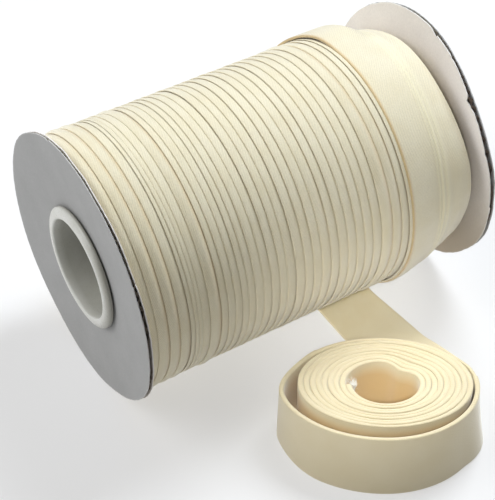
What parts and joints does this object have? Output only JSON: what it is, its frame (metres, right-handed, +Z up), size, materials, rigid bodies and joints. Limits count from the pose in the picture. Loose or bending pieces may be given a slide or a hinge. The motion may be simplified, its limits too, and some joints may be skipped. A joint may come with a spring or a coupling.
{
  "type": "roll of bias tape",
  "caption": "Cream bias tape wound on a wide spool with board discs, its loose end laid out and coiled by hand in front.",
  "frame": {"origin": "on the surface that the roll lies on, under the middle of the whole object", "axes": "+X along the spool's axis towards the disc by the last turn, +Y away from the loose end, +Z up"},
  "size_m": [0.1594, 0.177, 0.1096],
  "materials": {
    "tape_cloth": "soft satin weave, folded",
    "board": "grey-white lined corrugated board",
    "core_plastic": "off-white moulded plastic"
  },
  "bodies": {
    "root": {"core": "core_plastic", "flange_left": "board", "flange_right": "board", "wound_tape": "tape_cloth", "loose_tape": "tape_cloth", "hand_coil": "tape_cloth"}
  },
  "joints": []
}
